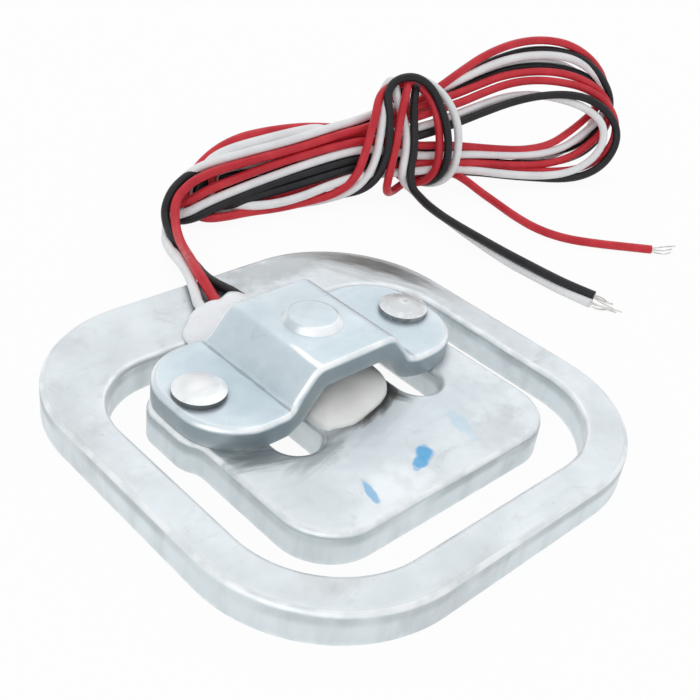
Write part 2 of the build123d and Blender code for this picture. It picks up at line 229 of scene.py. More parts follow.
# Zinc-plated steel
def zinc_finish(name, light, mid, dark, metallic):
    """Clouded zinc with specks, painted shade in its creases and painted highlights on sharp
    edges.

    Returns the finish, its tone so far, and heights for a fine grain and a slow ripple.
    """
    f = Finish(name)
    clouds = f.ramp(f.noise(150, 4, 0.6), 0.32, 0.68)
    tone = f.mix(clouds, mid, light)
    blotch = f.ramp(f.noise(420, 5, 0.65, distortion=0.6), 0.56, 0.78)
    tone = f.tint(tone, dark, blotch, 0.45)
    streak_coords = f.moved(scale=(0.12, 1, 1), turn=(0, 0, 0.5))
    streaks = f.ramp(f.noise(900, 3, 0.5, source=streak_coords), 0.58, 0.8)
    tone = f.tint(tone, dark, streaks, 0.18)
    speck = f.ramp(f.noise(3200, 2, 0.5), 0.66, 0.76)
    tone = f.tint(tone, dark, speck, 0.25)
    # Painted shade in creases and where parts meet
    crease_shade = f.ramp(f.nearness(1.0), 0.40, 0.90, 0.70, 0.0)
    tone = f.tint(tone, CREASE_SHADE, crease_shade)
    # Painted highlights along sharp outer edges, uneven in strength
    sharp_edge = f.ramp(f.nearness(0.8, inside=True), 0.50, 0.86, 1.0, 0.0)
    highlight_amount = f.ramp(f.noise(800), 0.3, 0.6, 0.35, 0.95)
    tone = f.tint(tone, (0.95, 0.98, 0.99), sharp_edge, highlight_amount)
    f.set(Metallic=metallic)
    grain = f.noise(5200, 3, 0.6)
    ripple = f.noise(520, 3, 0.5)
    return f, tone, grain, ripple


f, tone, grain, ripple = zinc_finish(
    "plate_steel", light=(0.715, 0.76, 0.79), mid=(0.60, 0.64, 0.665), dark=(0.36, 0.38, 0.39),
    metallic=0.65,
)
# Cut sides of the sheet: a painted lighter tone on all upright sides, standing in for the light
# they catch, and upright shear marks
side = f.upward(0.25, 0.8, 1.0, 0.0)
shear = f.ramp(f.noise(700, 4, 0.6, source=f.moved(scale=(1, 1, 0.16))), 0.42, 0.72)
tone = f.tint(tone, (0.80, 0.88, 0.91), side, 0.60)
tone = f.tint(tone, (0.46, 0.50, 0.51), side, shear, 0.30)
# Broad patches: centre, half sizes, turn, amount, shade
for center, size, turn, amount, shade in (
    ((7.6, -8.4), (1.0, 0.6), 0.3, 0.35, (0.42, 0.44, 0.46)),
    ((2.5, -5.4), (7.5, 2.2), 0.0, 0.40, (0.52, 0.59, 0.63)),
    ((7.6, -5.0), (2.4, 4.2), 0.0, 0.30, (0.52, 0.57, 0.60)),
    ((6.1, -9.4), (2.2, 1.5), 0.2, 0.35, (0.46, 0.48, 0.50)),
    ((-8.2, -6.8), (1.4, 3.2), 0.3, 0.25, (0.48, 0.53, 0.56)),
    ((7.5, 15.0), (6.5, 1.6), 0.0, 0.55, (0.36, 0.38, 0.39)),
    ((-4.6, -9.6), (3.0, 1.6), 0.3, 0.40, (0.90, 0.94, 0.96)),
    ((15.6, 0.0), (1.2, 7.0), 0.0, 0.35, (0.46, 0.49, 0.51)),
    ((-7.0, -16.9), (3.6, 0.5), 0.0, 0.30, (0.42, 0.43, 0.44)),
    ((-12.6, -12.4), (1.8, 1.0), -0.8, 0.30, (0.42, 0.41, 0.38)),
    ((-16.2, 4.0), (0.8, 3.0), 0.0, 0.25, (0.45, 0.46, 0.46)),
):
    patch = f.spot(center, size, turn, soft=0.6, ragged=0.45, grain=700)
    tone = f.tint(tone, shade, patch, amount)
# Tarnish on the ring, then painted shadows on the beam root and on the arms under the left ear and
# round the left slot's end, then painted shade, tinged brown, in front of the soft coat
for center, size, turn, amount, shade in (
    ((14.0, 10.8), (3.8, 2.0), -1.10, 0.45, (0.32, 0.31, 0.30)),
    ((13.0, 13.2), (2.2, 0.9), -0.80, 0.65, (0.13, 0.12, 0.11)),
    ((14.3, 11.2), (2.4, 1.1), -1.10, 0.80, (0.10, 0.095, 0.09)),
    ((15.3, 8.6), (2.4, 0.9), -1.32, 0.75, (0.11, 0.11, 0.11)),
    ((15.9, 5.4), (2.0, 0.5), -1.45, 0.35, (0.35, 0.35, 0.35)),
    ((11.2, 15.3), (2.6, 0.6), -0.45, 0.45, (0.25, 0.24, 0.23)),
    # Painted soft shadow in front of the coat, on the beam root
    ((1.2, -3.9), (3.4, 1.0), 0.30, 0.40, (0.45, 0.50, 0.52)),
    # Painted shadows of the left ear and round the left slot's end
    ((-8.0, -2.8), (2.8, 0.9), -0.35, 0.80, (0.13, 0.16, 0.17)),
    ((-10.3, -0.6), (1.6, 0.6), -0.90, 0.60, (0.18, 0.22, 0.23)),
    ((-5.4, -4.1), (2.2, 0.9), 0.20, 0.60, (0.22, 0.25, 0.26)),
    # Painted shade, tinged brown, along the soft coat's front edge and in the wedge by the right
    # slot's end
    ((-2.0, -3.35), (1.3, 0.28), -0.10, 0.65, (0.18, 0.16, 0.15)),
    ((0.3, -3.1), (1.6, 0.34), 0.28, 0.95, (0.06, 0.05, 0.045)),
    ((2.0, -2.5), (1.4, 0.50), 0.50, 0.95, (0.05, 0.045, 0.04)),
    ((3.1, -1.75), (1.0, 0.62), 0.90, 0.90, (0.06, 0.055, 0.05)),
    ((3.05, -2.55), (0.95, 0.45), -1.08, 0.85, (0.06, 0.055, 0.05)),
):
    tarnish_and_shadow = f.smear(center, size, turn)
    tone = f.tint(tone, shade, tarnish_and_shadow, f.upward(0.3, 0.7, 0.0, amount))
# Darker band along the upper half of the sides
band_foot = f.ramp(f.height(), 1.2 * MM, 1.75 * MM)
band_top = f.ramp(f.height(), 2.0 * MM, 2.2 * MM, 1.0, 0.0)
band_drift = f.ramp(f.noise(160), 0.35, 0.60, 0.1, 0.55)
tone = f.tint(tone, (0.34, 0.38, 0.39), band_foot, band_top, side, band_drift)
# Painted highlights along the rounded upper edges
highlight_amount = f.ramp(f.noise(500), 0.35, 0.65, 0.15, 0.75)
tone = f.tint(tone, PAINTED_HIGHLIGHT, f.upper_rim(), highlight_amount)
# Dabs of marker ink on the spine
for center, size, turn, amount, shade in (
    ((-5.35, -8.75), (0.28, 1.10), -0.30, 0.70, INK),
    ((0.05, -8.10), (0.78, 0.62), 0.40, 0.95, INK),
    ((-0.75, -8.50), (0.62, 0.46), 0.40, 0.90, INK),
    ((-1.35, -8.80), (0.36, 0.24), 0.50, 0.55, INK),
    ((4.35, -7.30), (1.60, 0.55), 1.33, 0.42, PALE_INK),
):
    dab = f.spot(center, size, turn, soft=0.30, ragged=0.22, grain=900)
    tone = f.tint(tone, shade, dab, f.upward(0.6, 0.9), amount)
f.color(tone).rough(0.34, 0.50, scale=330, detail=4, noise_rough=0.6)
f.bump((ripple, 0.35, 0.05), (grain, 0.25, 0.008))
plate_steel = f.mat

f, tone, grain, ripple = zinc_finish(
    "bridge_steel", light=(0.66, 0.74, 0.78), mid=(0.56, 0.64, 0.69), dark=(0.36, 0.41, 0.44),
    metallic=0.65,
)
cut_side_shade = f.upward(-0.15, 0.2, 1.0, 0.0)
for center, size, turn, amount, shade in (
    ((-7.0, 3.3), (1.9, 6.0), 0.0, 0.50, (0.40, 0.50, 0.56)),
    ((7.2, 3.3), (1.6, 6.0), 0.0, 0.35, (0.44, 0.54, 0.60)),
    ((0.5, -0.6), (5.0, 1.3), 0.0, 0.30, (0.50, 0.60, 0.65)),
    ((0.3, 5.2), (3.6, 2.6), 0.2, 0.30, (0.48, 0.52, 0.55)),
):
    patch = f.spot(center, size, turn, soft=0.5, ragged=0.3, grain=500)
    tone = f.tint(tone, shade, patch, amount)
# Painted shade along the foot bends, and a painted highlight along the left crown bend
for bend_x in (-5.62, 5.62):
    foot_bend_shade = f.spot((bend_x, 3.3), (0.13, 6.5), 0.0, soft=0.6, ragged=0.3, grain=700)
    tone = f.tint(tone, (0.16, 0.20, 0.22), foot_bend_shade, f.upward(0.3, 0.6, 0.0, 0.60))
glint = f.spot((-3.16, 0.1), (0.17, 2.0), 0.0, soft=0.5, ragged=0.3, grain=700)
tone = f.tint(tone, PAINTED_HIGHLIGHT, glint, f.upward(0.3, 0.6, 0.0, 0.85))
# Cut sides and undersides darkened: partly dull sheared steel, partly painted shade
tone = f.tint(tone, (0.15, 0.19, 0.20), cut_side_shade, 0.85)
# Painted highlights on the rims of the front and back edges only
across = f.ramp(f.math("ABSOLUTE", f.facing("Y")), 0.15, 0.4)
highlight_amount = f.ramp(f.noise(500), 0.35, 0.65, 0.5, 1.0)
tone = f.tint(tone, PAINTED_HIGHLIGHT, f.upper_rim(), across, highlight_amount)
f.color(tone).rough(0.32, 0.46, scale=360, detail=4, noise_rough=0.6)
f.bump((ripple, 0.3, 0.05), (grain, 0.22, 0.008))
bridge_steel = f.mat

f, tone, grain, _ = zinc_finish(
    "rivet_steel", light=(0.86, 0.87, 0.87), mid=(0.76, 0.77, 0.78), dark=(0.45, 0.46, 0.46),
    metallic=0.5,
)
# Painted shade on the upright sides and undersides of the heads
tone = f.tint(tone, (0.07, 0.08, 0.085), f.upward(0.25, 0.8, 1.0, 0.0), 0.92)
# The right head is duller, with a bright spot round a dark middle
for center, size, amount, shade in (
    ((9.25, 3.3), (2.0, 2.0), 0.65, (0.50, 0.52, 0.53)),
    ((9.25, 3.3), (0.42, 0.42), 0.50, (0.86, 0.86, 0.85)),
    ((9.35, 3.2), (0.20, 0.20), 0.60, (0.38, 0.40, 0.41)),
):
    patch = f.spot(center, size, 0.0, soft=0.4, ragged=0.3, grain=1500)
    tone = f.tint(tone, shade, patch, amount)
f.color(tone).rough(0.26, 0.44, scale=500, detail=4, noise_rough=0.6)
f.bump((f.noise(700, 3, 0.5), 0.5, 0.06), (grain, 0.25, 0.008))
rivet_steel = f.mat


# Plain materials
def plain_finish(name, dark, light, clouds, rough, bumps, cloud_top=0.65, **values):
    """Two tones in soft clouds, drifting roughness and fine bumps.

    clouds is the noise scale of the tones, rough is (lowest, highest, noise scale), and bumps
    holds rows of (noise scale, detail, strength, distance in mm).
    """
    f = Finish(name)
    f.color(f.mix(f.ramp(f.noise(clouds), 0.35, cloud_top), dark, light)).rough(*rough)
    f.bump(*(
        (f.noise(scale, detail), strength, distance)
        for scale, detail, strength, distance in bumps
    ))
    return f.set(**values).mat


def insulation(name, dark, light, lowest, highest):
    return plain_finish(
        name, dark, light, clouds=420, rough=(lowest, highest, 900),
        bumps=((650, 2, 0.25, 0.05), (4200, 3, 0.2, 0.006)), cloud_top=0.7,
        Specular_IOR_Level=0.3,
    )


silicone = plain_finish(
    "silicone", (0.88, 0.85, 0.83), (0.95, 0.92, 0.90), clouds=260, rough=(0.32, 0.48, 400),
    bumps=((420, 2, 0.5, 0.12), (2600, 2, 0.2, 0.01)),
    Subsurface_Weight=0.15, Subsurface_Scale=0.001,
)
adhesive = plain_finish(
    "adhesive", (0.92, 0.92, 0.95), (0.98, 0.98, 0.99), clouds=300, rough=(0.26, 0.42, 400),
    bumps=((480, 2, 0.7, 0.16), (2200, 2, 0.2, 0.01)),
    Subsurface_Weight=0.2, Subsurface_Scale=0.001,
)
skins = {
    "white": insulation("white_insulation", (0.85, 0.84, 0.85), (0.92, 0.92, 0.92), 0.34, 0.48),
    "black": insulation(
        "black_insulation", (0.010, 0.010, 0.012), (0.018, 0.018, 0.021), 0.36, 0.52
    ),
    "red": insulation("red_insulation", (0.56, 0.022, 0.036), (0.68, 0.040, 0.055), 0.34, 0.50),
}
tinned = plain_finish(
    "tinned_strands", (0.55, 0.53, 0.51), (0.78, 0.77, 0.76), clouds=1500,
    rough=(0.25, 0.40, 2500), bumps=((6000, 2, 0.2, 0.004),), Metallic=0.9,
)
gauge_film = plain_finish(
    "gauge_film", (0.55, 0.33, 0.12), (0.68, 0.46, 0.20), clouds=500, rough=(0.28, 0.40, 700),
    bumps=((3000, 2, 0.15, 0.005),),
)
gauge_foil = plain_finish(
    "gauge_foil", (0.62, 0.50, 0.38), (0.76, 0.66, 0.54), clouds=800, rough=(0.28, 0.42, 1200),
    bumps=((3500, 2, 0.2, 0.004),), Metallic=0.9,
)
solder = plain_finish(
    "solder", (0.62, 0.62, 0.62), (0.80, 0.80, 0.80), clouds=900, rough=(0.15, 0.30, 1600),
    bumps=((1500, 2, 0.4, 0.03),), Metallic=0.95,
)

for node_name, material in (
    ("sensor_plate", plate_steel), ("load_bridge", bridge_steel),
    ("left_rivet", rivet_steel), ("right_rivet", rivet_steel),
    ("silicone_coat", silicone), ("exit_adhesive", adhesive),
    ("gauge_backing", gauge_film), ("gauge_foil", gauge_foil), ("wire_hank", skins["white"]),
):
    wear(node_name, material)
for colour in ("white", "black", "red"):
    wear(f"{colour}_solder_joint", solder)
    wear(f"{colour}_bare_tip", tinned)
    for part in ("inner_wire", "lead", "free_end"):
        wear(f"{colour}_{part}", skins[colour])


# Soft beads
def closed_line(outline, steps=5):
    """Smooth closed line through an outline's points, with a few places for each span."""
    places = []
    count = len(outline)
    for i in range(count):
        a, b, c, d = (Vector(outline[(i + k) % count]) for k in (-1, 0, 1, 2))
        for step in range(steps):
            t = step / steps
            square = (2 * a - 5 * b + 4 * c - d) * t ** 2
            cube = (3 * b - a - 3 * c + d) * t ** 3
            places.append(0.5 * (2 * b + (c - a) * t + square + cube))
    return places


def swelling(x, y, lump):
    """Factor near 1 for slow lumps of two sizes."""
    wide = noise.noise(Vector((x * 0.55, y * 0.55, 3.1)))
    small = noise.noise(Vector((x * 1.4, y * 1.4, 7.7)))
    return 1 + lump * wide + 0.4 * lump * small


def bead(name, outline, center, rise, lump, droop, material):
    """Closed soft bead over a given outline, in mm: flat below, rounded to its rim."""
    rim = closed_line(outline)
    total = len(rim)
    middle = Vector(center)
    mesh = bmesh.new()
    rings = []
    for level in range(BEAD_LEVELS):
        angle = math.radians(90 - BEAD_STEP * level)
        share = math.sin(angle) ** 0.8
        dome = math.cos(angle) ** 0.75
        ring = []
        for place in rim:
            x, y = middle + (place - middle) * share
            z = BEAD_BASE + rise(x, y) * dome * swelling(x, y, lump)
            if level == 0:
                z -= droop(x, y)
            ring.append(mesh.verts.new((x * MM, y * MM, z * MM)))
        rings.append(ring)
    under = [mesh.verts.new(v.co + Vector((0, 0, -BEAD_SKIRT * MM))) for v in rings[0]]
    rings.insert(0, under)
    for lower, upper in zip(rings, rings[1:]):
        for i in range(total):
            after = (i + 1) % total
            mesh.faces.new((lower[i], lower[after], upper[after], upper[i]))
    mesh.faces.new(rings[-1])
    mesh.faces.new(list(reversed(rings[0])))
    bmesh.ops.triangulate(mesh, faces=[face for face in mesh.faces if len(face.verts) > 4])
    bmesh.ops.recalc_face_normals(mesh, faces=mesh.faces)
    data = bpy.data.meshes.new(name)
    mesh.to_mesh(data)
    mesh.free()
    for polygon in data.polygons:
        polygon.use_smooth = True
    data.materials.append(material)
    ob = bpy.data.objects.new(name, data)
    bpy.context.scene.collection.objects.link(ob)
    smooth = ob.modifiers.new("smooth", "SUBSURF")
    smooth.levels = 1
    smooth.render_levels = 2
    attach(ob, "root")
    return ob


def coat_rise(x, y):
    """Lower at the front, where the coat runs out onto the beam."""
    return 0.80 + 0.45 * min(1.0, max(0.0, (y + 2.6) / 3.5))


def coat_droop(x, y):
    """The coat hangs a little over the beam's sides."""
    return 0.22 if abs(x) > 3.55 else 0.0


def glue_rise(x, y):
    """Highest over the three wires."""
    return 0.78 + 0.42 * math.exp(-((x + 0.4) / 2.3) ** 2)


coat = bead(
    "silicone_bead",
    [(-3.75, -2.4), (-3.0, -3.0), (-1.6, -3.35), (0.0, -3.05), (1.5, -2.65), (2.8, -1.9),
     (3.62, -0.6), (3.66, 2.0), (3.6, 4.6), (2.6, 5.8), (0.0, 5.9), (-2.7, 5.8), (-3.75, 4.6),
     (-3.8, 1.6)],
    center=(0.0, 1.6), rise=coat_rise, lump=0.12, droop=coat_droop,
    material=silicone,
)
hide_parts("silicone_coat")
glue = bead(
    "adhesive_bead",
    [(-4.3, 8.7), (-5.15, 9.8), (-4.95, 11.1), (-3.9, 12.1), (-2.9, 12.9), (-1.7, 13.2),
     (-0.4, 13.1), (0.9, 13.45), (2.0, 13.0), (2.6, 11.2), (2.1, 9.2), (0.6, 8.6), (-1.4, 8.35),
     (-3.0, 8.45)],
    center=(-1.2, 10.9), rise=glue_rise, lump=0.30, droop=lambda x, y: 0.0,
    material=adhesive,
)
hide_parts("exit_adhesive")


# Wires
HANK_START = Vector((8.0, 27.5, 0.0))
HEADING = math.radians(-17.3)
LEAN = math.radians(25)
ALONG = Vector((math.cos(HEADING), math.sin(HEADING), 0))
LEVEL = Vector((-math.sin(HEADING), math.cos(HEADING), 0))
RISE = LEVEL * math.sin(LEAN) + Vector((0, 0, math.cos(LEAN)))
TOWARD = ALONG.cross(RISE)
# The hank's middle line bows away by BOW_DEPTH and crosses its chord BOW_HALF from BOW_MIDDLE.
BOW_DEPTH, BOW_MIDDLE, BOW_HALF = 1.9, 23, 26


def in_hank(s, h, w):
    """Place in the bowed hank, in mm: s along it, h up its lean, w towards its front."""
    bow = BOW_DEPTH * (1 - ((s - BOW_MIDDLE) / BOW_HALF) ** 2)
    return HANK_START + ALONG * s + LEVEL * bow + RISE * h + TOWARD * w


# Routes, in mm: lead and free end in the row frame, turns in hank coordinates
WIRES = {
    "red": {
        "lead": [
            (-0.42, 13.6, 2.9), (-0.2, 14.6, 3.2), (0.0, 15.9, 3.55), (0.85, 18.05, 3.4),
            (2.3, 20.5, 2.35), (3.4, 22.5, 1.6), (4.1, 24.2, 1.5), (5.15, 26.3, 1.75),
        ],
        "turns": [
            (-1.75, 2.6, 1.3), (-0.2, 3.8, 1.3), (1.3, 4.3, 1.25), (3.0, 4.65, 1.2),
            (5.35, 4.95, 1.15), (8.4, 5.3, 1.1), (11.7, 5.75, 1.0), (15.4, 6.45, 0.9),
            (18.6, 6.85, 0.6), (22.0, 7.7, 0.1), (24.6, 8.9, 0.0), (27.0, 10.25, 0.2),
            (29.4, 11.6, 0.2), (32.1, 13.05, 0.2), (35.25, 14.15, 0.2), (38.4, 14.6, 0.2),
            (41.55, 14.35, 0.1), (44.1, 13.4, -0.2), (46.5, 11.9, -1.0), (47.7, 9.9, -1.5),
            (46.7, 7.9, -1.6), (44.8, 6.6, -1.2), (42.5, 5.3, -0.7), (39.8, 4.0, -0.3),
            (36.4, 3.6, 0.0), (32.8, 3.9, 0.1), (29.7, 4.3, 0.2), (26.5, 4.65, 0.4),
            (23.8, 4.7, 0.7), (20.8, 5.3, 0.9), (18.0, 5.7, 0.9), (15.2, 5.45, 0.9),
            (11.6, 4.95, 0.9), (8.0, 4.35, 0.9), (4.6, 3.65, 0.9), (1.7, 3.05, 0.95),
            (0.1, 2.4, 0.8), (-1.2, 2.0, -0.1), (-1.5, 2.35, -1.45), (-0.6, 3.2, -2.4),
            (1.6, 4.1, -2.6), (5.0, 4.5, -1.7), (9.0, 4.7, -0.9), (14.0, 5.2, -0.8),
            (19.0, 6.5, -0.7), (22.5, 7.7, 0.0), (25.3, 8.7, 0.6), (28.5, 9.4, 0.35),
            (31.2, 10.2, 0.2), (34.3, 11.15, 0.2), (38.2, 11.5, 0.2), (41.4, 11.25, 0.2),
            (44.0, 10.5, 0.1), (46.2, 9.2, -0.1), (47.5, 7.3, -0.4), (46.6, 5.4, -0.6),
            (44.6, 3.9, -0.4), (42.0, 2.6, -0.1), (38.7, 2.0, 0.0), (34.75, 2.15, 0.0),
            (30.4, 2.65, 0.1), (27.5, 2.8, 0.2), (24.5, 3.1, 0.4), (19.0, 3.0, 0.2),
            (14.0, 2.4, 0.2), (9.5, 1.6, 0.2), (6.2, 1.5, 0.1), (3.9, 1.8, -0.2),
            (2.65, 2.85, -0.7), (2.7, 4.15, -0.95), (4.0, 5.1, -0.7), (6.4, 5.4, -0.2),
            (9.5, 5.5, 0.0), (14.0, 5.75, 0.1), (18.5, 6.5, 0.1), (22.0, 7.1, 0.8),
            (24.5, 7.6, 0.9), (26.6, 8.1, 0.8), (29.2, 8.65, 0.6), (31.8, 9.5, 0.5),
            (34.9, 10.35, 0.5), (38.0, 10.6, 0.5), (41.1, 10.3, 0.5), (43.8, 9.7, 0.5),
            (46.1, 8.4, 0.4), (47.5, 6.4, 0.3), (47.2, 4.1, 0.2), (45.4, 2.3, 0.1),
            (42.65, 1.35, 0.1), (39.5, 1.25, 0.0), (35.65, 1.6, -0.2), (31.9, 2.15, -0.5),
            (28.2, 2.5, -1.0), (25.0, 3.4, -1.4), (21.0, 5.4, -1.6), (16.8, 6.9, -0.8),
            (13.6, 7.35, 0.0), (10.6, 7.5, 0.1), (7.0, 7.35, 0.2), (4.8, 7.0, 0.2),
            (2.8, 6.2, -0.1), (1.1, 4.9, -0.5), (-0.2, 3.2, -0.6), (-0.3, 1.5, -0.1),
            (1.0, 0.5, 0.7), (3.2, 0.4, 0.9), (5.4, 0.5, 0.8), (8.2, 0.4, 0.6), (11.0, 0.6, 0.8),
            (14.3, 1.0, 1.2), (16.2, 2.2, 1.7), (17.1, 3.9, 2.0), (17.9, 6.0, 2.1),
            (18.8, 7.9, 1.9), (19.6, 9.6, 1.3), (21.0, 10.5, 0.8), (22.7, 10.8, 0.7),
            (24.3, 10.4, 1.0), (25.2, 9.0, 1.6), (25.5, 7.4, 1.9), (25.6, 5.6, 2.0),
            (25.5, 3.8, 1.9), (25.2, 2.2, 1.5), (24.6, 1.2, 0.4), (23.8, 1.1, -1.0),
            (23.0, 2.0, -2.4), (22.4, 3.9, -3.3), (22.1, 6.2, -3.2), (22.2, 8.4, -2.5),
            (22.6, 10.2, -1.3), (22.95, 11.2, 0.1), (22.85, 10.85, 1.4), (22.1, 9.5, 2.1),
            (21.3, 7.7, 2.3), (20.7, 5.45, 2.3), (20.0, 3.2, 2.2), (19.5, 1.4, 1.9),
            (19.9, 0.55, 0.9), (21.1, 0.5, -0.2), (22.8, 1.2, -0.8), (24.8, 2.1, -0.9),
            (26.6, 1.9, -1.2),
        ],
        "free": [
            (36.1, 22.2, 1.35), (36.35, 20.4, 1.1), (36.35, 18.4, 0.7), (36.35, 16.4, 0.45),
            (35.75, 13.5, 0.42), (35.5, 10.5, 0.42), (36.35, 7.7, 0.42), (38.6, 5.2, 0.42),
            (40.6, 3.35, 0.42), (42.2, 1.85, 0.42),
        ],
    },
    "white": {
        "lead": [
            (-1.8, 13.6, 2.84), (-0.95, 15.2, 2.84), (-0.1, 17.0, 2.88), (0.6, 18.6, 2.62),
            (1.6, 20.6, 1.9), (2.4, 22.4, 1.3), (3.2, 24.2, 0.8), (4.2, 26.3, 0.42),
            (5.3, 27.75, 0.42),
        ],
        "turns": [
            (-2.1, 0.8, -0.6), (-1.7, 2.3, -0.7), (-0.8, 4.0, 0.0), (0.9, 4.95, 0.2),
            (2.5, 5.35, 0.7), (4.3, 5.6, 0.9), (6.6, 5.9, 0.9), (9.1, 6.2, 0.9), (11.6, 6.6, 0.9),
            (14.7, 7.15, 0.6), (17.6, 7.55, 0.1), (20.6, 8.3, -0.6), (24.0, 9.0, -0.8),
            (27.2, 10.0, -0.2), (30.4, 11.25, 0.3), (33.55, 12.4, 0.3), (36.7, 13.0, 0.3),
            (39.8, 13.1, 0.3), (42.6, 12.7, 0.2), (44.9, 11.6, -0.1), (46.7, 10.0, -0.5),
            (47.4, 8.0, -1.0), (46.4, 6.4, -1.2), (44.8, 5.4, -1.0), (43.4, 4.6, -0.7),
            (41.2, 3.6, -0.3), (38.0, 3.05, 0.0), (34.0, 3.2, 0.1), (30.4, 3.5, 0.2),
            (27.4, 3.6, 0.4), (24.0, 3.7, 0.7), (21.0, 4.35, 0.9), (18.0, 4.9, 0.9),
            (15.2, 4.65, 0.9), (11.6, 4.05, 0.9), (8.0, 3.35, 0.9), (4.5, 2.65, 0.9),
            (1.2, 1.9, 0.9), (-0.5, 1.3, 0.8), (-1.75, 1.15, -0.25), (-1.95, 1.75, -1.5),
            (-0.8, 2.6, -2.5), (1.8, 3.3, -2.8), (5.0, 3.7, -2.3), (9.0, 4.0, -1.7),
            (13.5, 5.0, -1.7), (18.0, 6.9, -1.2), (22.0, 8.1, -1.4), (26.5, 9.2, -1.4),
            (31.0, 11.0, -1.0), (35.0, 12.3, -0.9), (39.0, 12.7, -0.9), (42.5, 12.2, -1.1),
            (45.3, 10.7, -1.6), (46.7, 8.4, -1.9), (46.2, 6.0, -1.9), (44.2, 4.2, -1.8),
            (41.0, 2.9, -1.5), (37.0, 2.3, -1.1), (32.0, 2.3, -0.7), (27.0, 2.35, 0.3),
            (22.0, 2.3, 0.9), (17.0, 2.5, 1.2), (13.4, 1.85, 1.3), (11.0, 1.25, 1.4),
            (8.3, 0.9, 1.4), (6.0, 0.95, 1.2), (4.2, 1.2, 0.6), (2.8, 1.8, -0.3),
            (2.45, 2.9, -1.15), (3.35, 4.05, -1.5), (5.8, 4.7, -0.9), (9.5, 4.65, -0.05),
            (14.0, 4.9, 0.1), (19.0, 5.7, 0.1), (22.4, 6.2, 0.5), (25.7, 6.75, 0.7),
            (28.9, 7.6, 0.5), (31.85, 8.4, 0.2), (34.7, 9.05, 0.0), (37.5, 9.2, -0.1),
            (39.8, 8.9, 0.1), (41.8, 8.35, 0.5), (43.8, 7.5, 0.8), (45.4, 6.1, 0.9),
            (45.5, 4.2, 0.9), (44.3, 2.6, 0.9), (42.4, 1.5, 0.9), (40.4, 1.0, 0.9),
            (38.2, 0.9, 0.9), (35.7, 1.05, 0.9), (33.0, 1.4, 0.8), (30.2, 1.9, 0.4),
            (27.5, 2.2, -0.4), (24.5, 2.9, -1.8), (21.0, 4.8, -2.3), (17.0, 6.5, -1.2),
            (13.4, 7.3, 0.3), (10.6, 7.1, 0.6), (7.2, 6.7, 0.6), (4.6, 6.35, 0.6), (2.7, 5.8, 0.3),
            (1.2, 4.6, -0.6), (0.2, 3.1, -1.3), (0.75, 1.65, -1.05), (2.6, 0.8, -0.3),
            (6.0, 0.55, 0.0), (10.0, 0.5, 0.1), (13.4, 0.55, 0.4), (16.2, 1.1, 1.0),
            (17.8, 2.4, 1.5), (18.7, 4.2, 1.8), (19.15, 6.0, 1.9), (19.6, 7.6, 1.8),
            (20.2, 9.2, 1.3), (21.1, 10.3, 0.7), (22.5, 10.95, 0.4), (24.1, 11.2, 0.6),
            (25.6, 10.5, 1.2), (26.8, 8.9, 1.9), (27.45, 7.1, 2.2), (27.6, 5.4, 2.2),
            (27.5, 3.7, 2.0), (27.2, 2.1, 1.5), (26.4, 1.0, 0.4), (25.2, 0.95, -1.0),
            (24.1, 1.8, -2.6), (23.2, 3.6, -3.8), (22.3, 6.0, -4.1), (21.9, 8.4, -3.4),
            (21.8, 10.3, -2.0), (21.95, 11.2, -0.5), (21.7, 10.8, 0.8), (21.5, 9.4, 1.4),
            (21.9, 7.8, 1.5), (22.15, 6.2, 1.7), (21.85, 4.4, 1.9), (21.2, 2.4, 1.95),
        ],
        "free": [
            (29.2, 22.5, 1.7), (30.0, 21.3, 0.85), (29.95, 19.8, 0.45), (29.5, 17.8, 0.42),
            (29.0, 15.2, 0.42), (28.6, 13.0, 0.42), (28.2, 10.3, 0.42), (27.9, 7.4, 0.42),
            (28.0, 5.0, 0.42), (28.1, 2.6, 0.42), (28.35, 0.6, 0.42), (28.6, -0.95, 0.42),
        ],
    },
    "black": {
        "lead": [
            (1.3, 13.6, 2.84), (1.0, 14.7, 2.84), (0.75, 16.2, 2.95), (1.5, 18.6, 2.7),
            (2.85, 21.1, 1.6), (3.9, 23.1, 0.9), (4.3, 24.6, 0.8), (4.45, 26.0, 1.1),
        ],
        "turns": [
            (-2.75, 1.5, 0.9), (-2.1, 2.95, 0.7), (-0.9, 4.0, 0.35), (1.2, 4.9, 0.1),
            (4.5, 5.4, 0.2), (8.0, 5.75, 0.15), (12.0, 6.35, 0.1), (16.0, 6.9, -0.3),
            (20.0, 7.6, -1.0), (23.5, 8.4, -1.6), (27.0, 9.8, -1.4), (30.0, 11.0, -0.9),
            (32.6, 12.25, -0.7), (35.3, 13.15, -0.5), (38.0, 13.65, -0.4), (40.8, 13.6, -0.2),
            (43.5, 12.9, 0.0), (45.6, 11.4, 0.0), (47.1, 9.5, -0.3), (47.9, 7.6, -1.1),
            (47.2, 5.9, -1.7), (45.6, 4.6, -1.9), (43.2, 3.6, -1.7), (40.0, 3.1, -1.2),
            (36.2, 3.1, -0.9), (32.1, 3.5, -0.7), (28.4, 4.0, -0.6), (25.0, 4.2, -0.3),
            (21.0, 4.0, 0.5), (17.6, 4.05, 0.8), (15.0, 3.75, 0.9), (11.4, 3.2, 0.9),
            (8.0, 2.65, 0.9), (4.5, 1.9, 0.9), (1.9, 1.3, 0.9), (0.1, 0.75, 0.9),
            (-1.2, 0.65, 0.05), (-1.55, 1.05, -1.2), (-0.5, 1.8, -2.3), (1.8, 2.4, -2.4),
            (5.0, 2.9, -1.7), (9.0, 3.4, -1.0), (14.0, 4.4, -0.8), (19.0, 5.7, -1.0),
            (23.0, 7.2, -1.4), (27.3, 8.9, -1.1), (30.3, 10.2, -0.8), (32.8, 11.1, -0.7),
            (35.7, 11.85, -0.6), (38.8, 12.1, -0.6), (42.0, 11.85, -0.7), (44.7, 11.1, -0.9),
